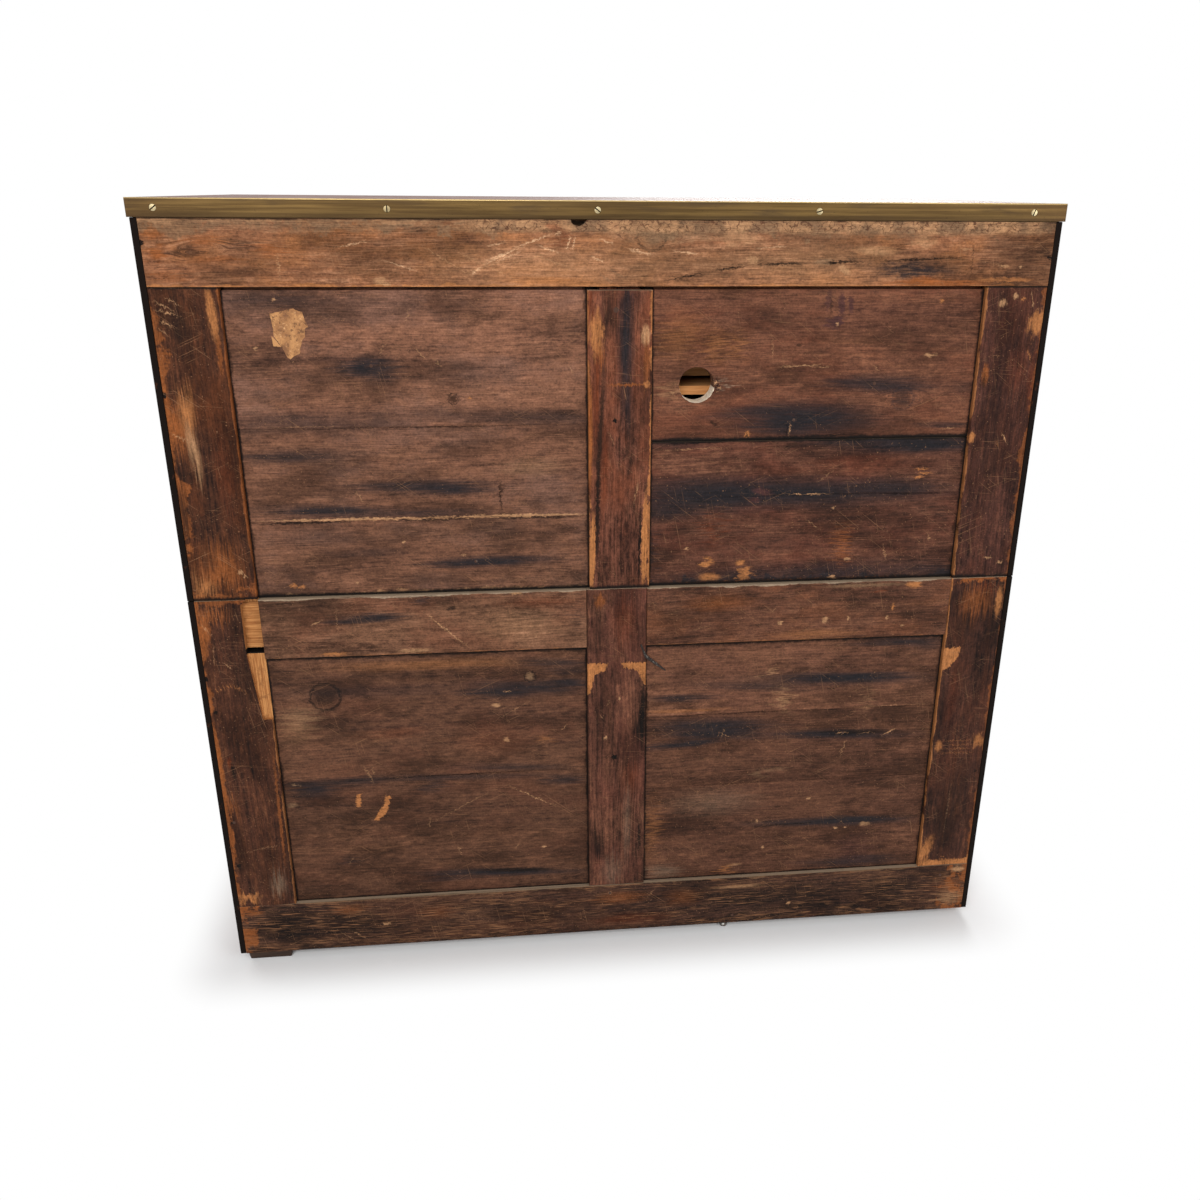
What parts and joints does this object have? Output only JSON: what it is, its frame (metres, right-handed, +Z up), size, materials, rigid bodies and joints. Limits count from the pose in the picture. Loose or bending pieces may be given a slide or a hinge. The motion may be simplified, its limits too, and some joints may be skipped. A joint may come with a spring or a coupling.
{
  "type": "campaign chest",
  "caption": "Two-part chest of drawers with brass-edged top, flush pulls, side carrying handles and framed panelled backs.",
  "frame": {"origin": "on the floor, under the middle of the chest's bounding box", "axes": "+Z up; the drawers open towards -Y and the panelled back faces +Y; +X is the chest's right as seen from the front"},
  "size_m": [1.0278, 0.461, 0.9533],
  "materials": {
    "polished_wood": "french polished hardwood, worn",
    "edge_wood": "polished hardwood with blackened rear edges",
    "inside_wood": "bare softwood",
    "stained_pine": "old softwood with a worn dark stain",
    "rail_pine": "old softwood with a worn brown stain",
    "aged_brass": "aged and rubbed",
    "dull_steel": "dull, lightly worn"
  },
  "bodies": {
    "lower_case": {"lower_side_left": "edge_wood", "lower_side_right": "edge_wood", "foot_front_left": "edge_wood", "foot_front_right": "edge_wood", "foot_rear_right": "edge_wood", "lower_top_board": "inside_wood", "lower_bottom_board": "inside_wood", "lower_dust_frame": "inside_wood", "lower_back_rail_left": "rail_pine", "lower_back_rail_right": "rail_pine", "lower_back_stile_left": "stained_pine", "lower_back_stile_right": "stained_pine", "lower_back_muntin": "stained_pine", "lower_back_bottom_rail": "stained_pine", "lower_back_panel_left": "stained_pine", "lower_back_panel_right": "stained_pine", "rear_glide": "dull_steel", "lower_handle_left_plate": "aged_brass", "lower_handle_right_plate": "aged_brass"},
    "upper_case": {"top_board": "polished_wood", "short_drawer_divider": "polished_wood", "edging_rear": "aged_brass", "edging_front": "aged_brass", "edging_left": "aged_brass", "edging_right": "aged_brass", "upper_side_left": "edge_wood", "upper_side_right": "edge_wood", "upper_bottom_board": "inside_wood", "upper_dust_frame": "inside_wood", "upper_back_rail": "rail_pine", "upper_back_stile_left": "stained_pine", "upper_back_stile_right": "stained_pine", "upper_back_muntin": "stained_pine", "upper_back_panel_left": "stained_pine", "upper_back_board_left": "stained_pine", "upper_back_panel_right": "stained_pine", "upper_handle_left_plate": "aged_brass", "upper_handle_right_plate": "aged_brass"},
    "long_drawer_top": {"long_drawer_top_front": "polished_wood", "long_drawer_top_box": "inside_wood"},
    "long_drawer_top_bail_left": {"long_drawer_top_bail_left": "aged_brass"},
    "long_drawer_top_bail_right": {"long_drawer_top_bail_right": "aged_brass"},
    "long_drawer_middle": {"long_drawer_middle_front": "polished_wood", "long_drawer_middle_box": "inside_wood"},
    "long_drawer_middle_bail_left": {"long_drawer_middle_bail_left": "aged_brass"},
    "long_drawer_middle_bail_right": {"long_drawer_middle_bail_right": "aged_brass"},
    "long_drawer_bottom": {"long_drawer_bottom_front": "polished_wood", "long_drawer_bottom_box": "inside_wood"},
    "long_drawer_bottom_bail_left": {"long_drawer_bottom_bail_left": "aged_brass"},
    "long_drawer_bottom_bail_right": {"long_drawer_bottom_bail_right": "aged_brass"},
    "short_drawer_left": {"short_drawer_left_front": "polished_wood", "short_drawer_left_box": "inside_wood"},
    "short_drawer_left_bail": {"short_drawer_left_bail": "aged_brass"},
    "short_drawer_right": {"short_drawer_right_front": "polished_wood", "short_drawer_right_box": "inside_wood"},
    "short_drawer_right_bail": {"short_drawer_right_bail": "aged_brass"},
    "lower_handle_left_bail": {"lower_handle_left_bail": "aged_brass"},
    "lower_handle_right_bail": {"lower_handle_right_bail": "aged_brass"},
    "upper_handle_left_bail": {"upper_handle_left_bail": "aged_brass"},
    "upper_handle_right_bail": {"upper_handle_right_bail": "aged_brass"}
  },
  "joints": [
    {"name": "upper_case_lift", "type": "slide", "parent": "lower_case", "child": "upper_case", "axis": [0, 0, 1], "range_m": [0, 0.12]},
    {"name": "long_drawer_top_slide", "type": "slide", "parent": "upper_case", "child": "long_drawer_top", "axis": [0, -1, 0], "range_m": [0, 0.3]},
    {"name": "long_drawer_top_bail_left_swing", "type": "hinge", "parent": "long_drawer_top", "child": "long_drawer_top_bail_left", "pos_m": [-0.28, -0.2241, 0.64485], "axis": [-1, 0, 0], "range_deg": [0, 90]},
    {"name": "long_drawer_top_bail_right_swing", "type": "hinge", "parent": "long_drawer_top", "child": "long_drawer_top_bail_right", "pos_m": [0.28, -0.2241, 0.64485], "axis": [-1, 0, 0], "range_deg": [0, 90]},
    {"name": "long_drawer_middle_slide", "type": "slide", "parent": "lower_case", "child": "long_drawer_middle", "axis": [0, -1, 0], "range_m": [0, 0.3]},
    {"name": "long_drawer_middle_bail_left_swing", "type": "hinge", "parent": "long_drawer_middle", "child": "long_drawer_middle_bail_left", "pos_m": [-0.28, -0.2241, 0.40155], "axis": [-1, 0, 0], "range_deg": [0, 90]},
    {"name": "long_drawer_middle_bail_right_swing", "type": "hinge", "parent": "long_drawer_middle", "child": "long_drawer_middle_bail_right", "pos_m": [0.28, -0.2241, 0.40155], "axis": [-1, 0, 0], "range_deg": [0, 90]},
    {"name": "long_drawer_bottom_slide", "type": "slide", "parent": "lower_case", "child": "long_drawer_bottom", "axis": [0, -1, 0], "range_m": [0, 0.3]},
    {"name": "long_drawer_bottom_bail_left_swing", "type": "hinge", "parent": "long_drawer_bottom", "child": "long_drawer_bottom_bail_left", "pos_m": [-0.28, -0.2241, 0.16055], "axis": [-1, 0, 0], "range_deg": [0, 90]},
    {"name": "long_drawer_bottom_bail_right_swing", "type": "hinge", "parent": "long_drawer_bottom", "child": "long_drawer_bottom_bail_right", "pos_m": [0.28, -0.2241, 0.16055], "axis": [-1, 0, 0], "range_deg": [0, 90]},
    {"name": "short_drawer_left_slide", "type": "slide", "parent": "upper_case", "child": "short_drawer_left", "axis": [0, -1, 0], "range_m": [0, 0.3]},
    {"name": "short_drawer_left_bail_swing", "type": "hinge", "parent": "short_drawer_left", "child": "short_drawer_left_bail", "pos_m": [-0.24525, -0.2241, 0.85535], "axis": [-1, 0, 0], "range_deg": [0, 90]},
    {"name": "short_drawer_right_slide", "type": "slide", "parent": "upper_case", "child": "short_drawer_right", "axis": [0, -1, 0], "range_m": [0, 0.3]},
    {"name": "short_drawer_right_bail_swing", "type": "hinge", "parent": "short_drawer_right", "child": "short_drawer_right_bail", "pos_m": [0.24525, -0.2241, 0.85535], "axis": [-1, 0, 0], "range_deg": [0, 90]},
    {"name": "lower_handle_left_bail_swing", "type": "hinge", "parent": "lower_case", "child": "lower_handle_left_bail", "pos_m": [-0.5084, 0, 0.3335], "axis": [0, 1, 0], "range_deg": [0, 90]},
    {"name": "lower_handle_right_bail_swing", "type": "hinge", "parent": "lower_case", "child": "lower_handle_right_bail", "pos_m": [0.5084, 0, 0.3335], "axis": [0, -1, 0], "range_deg": [0, 90]},
    {"name": "upper_handle_left_bail_swing", "type": "hinge", "parent": "upper_case", "child": "upper_handle_left_bail", "pos_m": [-0.5084, 0, 0.7831], "axis": [0, 1, 0], "range_deg": [0, 90]},
    {"name": "upper_handle_right_bail_swing", "type": "hinge", "parent": "upper_case", "child": "upper_handle_right_bail", "pos_m": [0.5084, 0, 0.7831], "axis": [0, -1, 0], "range_deg": [0, 90]}
  ]
}
